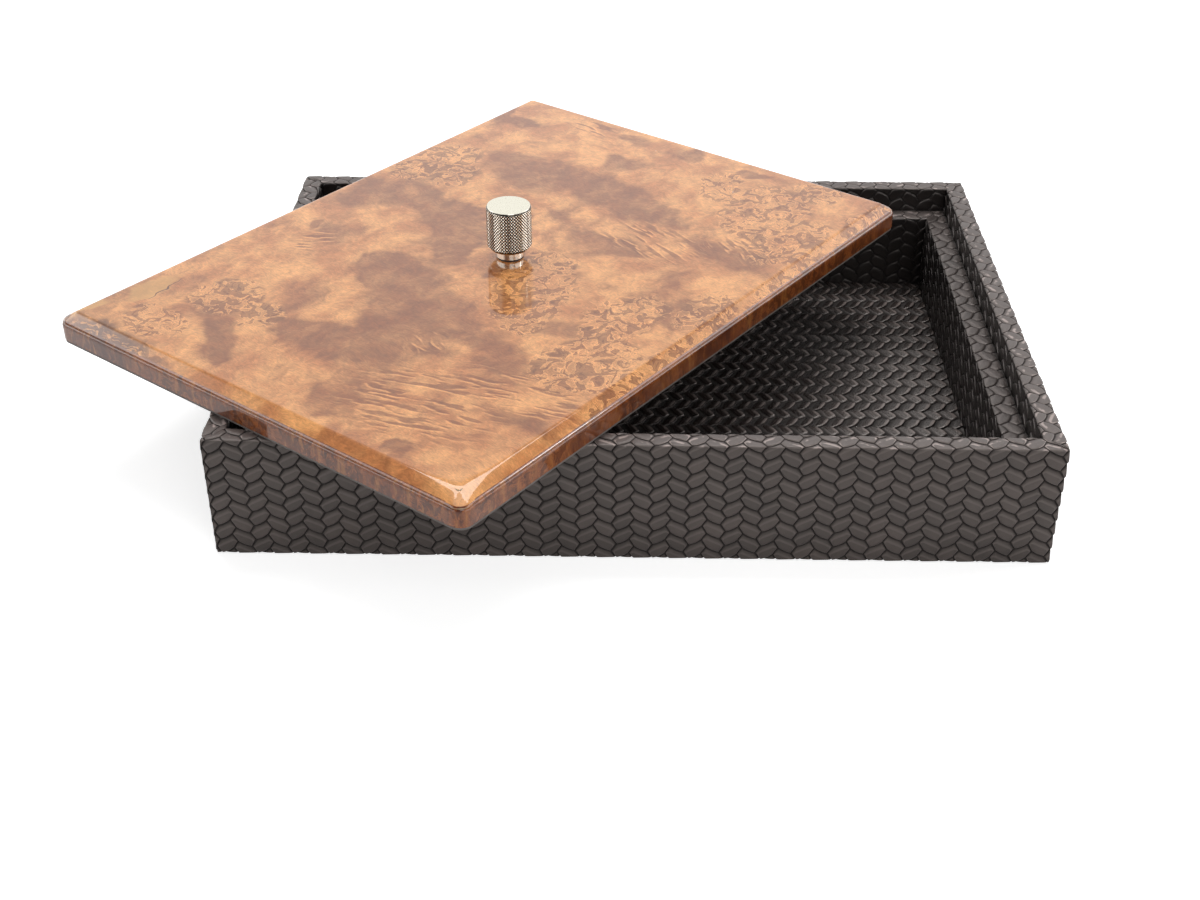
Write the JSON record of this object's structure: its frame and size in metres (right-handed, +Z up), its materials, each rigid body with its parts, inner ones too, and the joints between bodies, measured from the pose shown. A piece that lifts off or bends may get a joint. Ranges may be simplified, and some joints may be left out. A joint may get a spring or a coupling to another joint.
{
  "type": "stationery box",
  "caption": "Low rectangular tray case covered in dark plaited leather, with an inner ledge and a loose drop-in lid of glossy burl veneer lifted by a knurled metal knob.",
  "frame": {"origin": "centre of the case's underside, on the table", "axes": "+Z up out of the tray, +X along the case's long side, +Y towards the back"},
  "size_m": [0.4268, 0.4006, 0.0964],
  "materials": {
    "woven_leather": "dark brown leather embossed with a plait, satin",
    "board": "raw fibreboard",
    "card": "grey bookbinder's card",
    "base_felt": "black felt",
    "lid_lining": "pale grey felt",
    "burl_veneer": "burl under clear gloss lacquer",
    "nickel": "satin nickel, diamond knurl",
    "steel": "zinc-plated steel",
    "dark_fibre": "black fibre washer"
  },
  "bodies": {
    "case": {"base_lining": "base_felt", "base_board": "board", "floor_card": "card", "floor_leather": "woven_leather", "wall_board_front": "board", "wall_leather_front": "woven_leather", "ledge_board_front": "board", "ledge_leather_front": "woven_leather", "wall_board_right": "board", "wall_leather_right": "woven_leather", "ledge_board_right": "board", "ledge_leather_right": "woven_leather", "wall_board_back": "board", "wall_leather_back": "woven_leather", "ledge_board_back": "board", "ledge_leather_back": "woven_leather", "wall_board_left": "board", "wall_leather_left": "woven_leather", "ledge_board_left": "board", "ledge_leather_left": "woven_leather"},
    "knob": {"knob": "nickel", "knob_seat_washer": "dark_fibre", "screw_washer": "steel", "knob_screw": "steel"},
    "lid": {"lid_lining": "lid_lining", "lid_board": "board", "veneer_top": "burl_veneer", "edge_veneer_front": "burl_veneer", "edge_veneer_right": "burl_veneer", "edge_veneer_back": "burl_veneer", "edge_veneer_left": "burl_veneer"}
  },
  "joints": [
    {"name": "lid_lift", "type": "slide", "parent": "case", "child": "knob", "axis": [0, 0, 1], "range_m": [0, 0.15]},
    {"name": "lid_turn", "type": "hinge", "parent": "knob", "child": "lid", "pos_m": [-0.05786, 0.00958, 0.0705], "axis": [0, 0, 1], "continuous": true}
  ]
}
